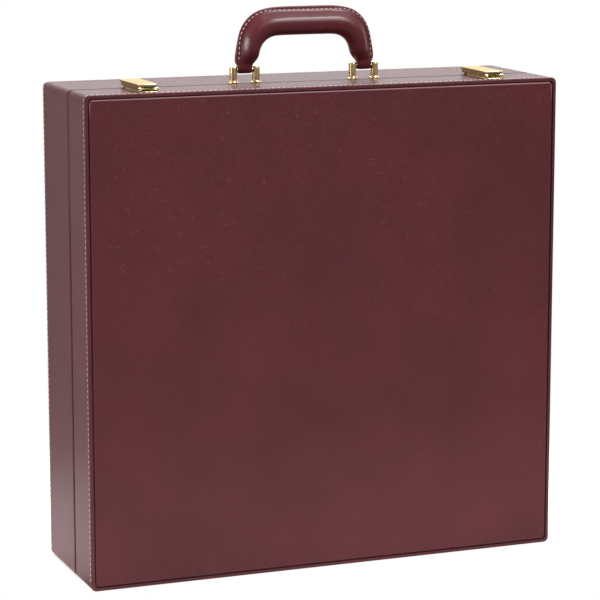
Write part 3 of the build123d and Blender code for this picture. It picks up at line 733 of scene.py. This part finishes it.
for step in range(padLook["steps"]):
    bpy.context.scene.frame_set(step + 1)
bpy.ops.object.modifier_apply(modifier=cloth.name)
bpy.context.scene.frame_set(1)
for vertex, start in zip(pad.data.vertices, before):
    moved = vertex.co - start
    if moved.length > padLook["cap"] * mm:
        vertex.co = start + moved.normalized() * padLook["cap"] * mm
modify(pad, "SUBSURF", levels=1, render_levels=1)
for vertex in pad.data.vertices:
    x, y, z = (value / mm for value in vertex.co)
    if y > middleY:
        y = min(y, padLook["rear"]) - seamedDepth(x, z)
        y = max(y, middleY)
    vertex.co.y = max(y, padLook["front"]) * mm
choose(pad)
bpy.ops.object.shade_smooth()
give(pad, "lidPad", "velvet", "lid", ["lid_pad"])

print("aiming the camera")
# the photograph's angle, aimed so that no shift is needed
view = {"turn": -21.34, "rise": 10.49, "distance": 2.4182, "aim": (-0.00175, 0.0, 0.24195), "lens": 153.88,
        "sensor": 36}
turn = math.radians(view["turn"])
rise = math.radians(view["rise"])
back = Vector((math.sin(turn) * math.cos(rise), -math.cos(turn) * math.cos(rise), math.sin(rise)))
bpy.ops.object.camera_add(location=Vector(view["aim"]) + back * view["distance"],
                          rotation=(math.pi / 2 - rise, 0, turn))
camera = bpy.context.object
camera.name = "photoCamera"
camera.data.lens = view["lens"]
camera.data.sensor_width = view["sensor"]
bpy.context.scene.camera = camera

print("laying the floor and the lights")
# The floor ends under the base: the open lid hangs past its front, as the box is opened lying on its back
stageLook = {"size": 6.0, "level": -0.0002, "front": -0.04, "under": -0.012, "solid": 0.3, "faded": 0.6,
             "floor": (0.92, 0.92, 0.92, 1), "lift": 0.5}
bpy.ops.mesh.primitive_plane_add(size=stageLook["size"], location=(0, 0, stageLook["level"]))
floor = bpy.context.object
floor.name = "studioFloor"
paper = Finish("paleFloor", {"Roughness": 0.9, "Specular IOR Level": 0.1, "Base Color": stageLook["floor"],
                             "Emission Color": (1, 1, 1, 1), "Emission Strength": stageLook["lift"]})
spot = paper.place()
away = paper.node("ShaderNodeVectorMath", {"operation": "LENGTH"}, {0: spot}, "Value")
forward = paper.smooth(paper.axes(spot)[1], stageLook["front"], stageLook["under"])
paper.feed("Alpha", paper.smooth(away, stageLook["faded"], stageLook["solid"]) * forward)
floor.data.materials.append(paper.material)

lights = {
    "keyBox": {"place": (1.3, -2.0, 2.4), "aim": (0, 0, 0.3), "size": (1.6, 1.0), "power": 31.0},
    "sideBox": {"place": (-2.3, -0.14, 0.6), "aim": (0, 0, 0.3), "size": (0.7, 1.1), "power": 33.0},
    "topBox": {"place": (0.85, -0.95, 2.35), "aim": (0, 0, 0.4), "size": (1.0, 0.5), "power": 30.0},
    "bounceCard": {"place": (0.05, -0.34, -0.03), "aim": (0.05, -0.33, 1.0), "size": (1.0, 0.5),
                   "power": 2.1},
    "highBox": {"place": (0.2, 1.5, 2.5), "aim": (0, 0, 0.4), "size": (3.6, 2.4), "power": 48.0},
}
for name, light in lights.items():
    direction = Vector(light["aim"]) - Vector(light["place"])
    bpy.ops.object.light_add(type="AREA", location=light["place"],
                             rotation=direction.to_track_quat("-Z", "Y").to_euler())
    lamp = bpy.context.object
    lamp.name = name
    lamp.data.shape = "RECTANGLE"
    lamp.data.size, lamp.data.size_y = light["size"]
    lamp.data.energy = light["power"]
    lamp.visible_camera = False

# Air that is plain white to look at, and lights the case mostly from its far side
airLook = {"white": (0.5, 0.866, 0.0), "spread": (0.68, 0.92), "bright": 1.05, "pale": 0.28,
           "upward": (0.3, 0.95), "above": 0.3}
world = bpy.data.worlds.new("studioAir")
bpy.context.scene.world = world
world.use_nodes = True
air = Graph(world.node_tree)
toward = air.node("ShaderNodeTexCoord", output="Generated")
facing = air.node("ShaderNodeVectorMath", {"operation": "DOT_PRODUCT"},
                  {0: toward, 1: airLook["white"]}, "Value")
upward = air.smooth(air.axes(toward)[2], *airLook["upward"])
brightness = air.smooth(facing, *airLook["spread"]) * airLook["bright"]
brightness = brightness + upward * airLook["above"] + airLook["pale"]
seen = air.node("ShaderNodeLightPath", output="Is Camera Ray")
brightness = brightness * (1 - seen) + seen
background = world.node_tree.nodes["Background"]
world.node_tree.links.new(brightness.socket, background.inputs["Strength"])
background.inputs["Color"].default_value = (1, 1, 1, 1)
bpy.context.scene.view_settings.view_transform = "Standard"
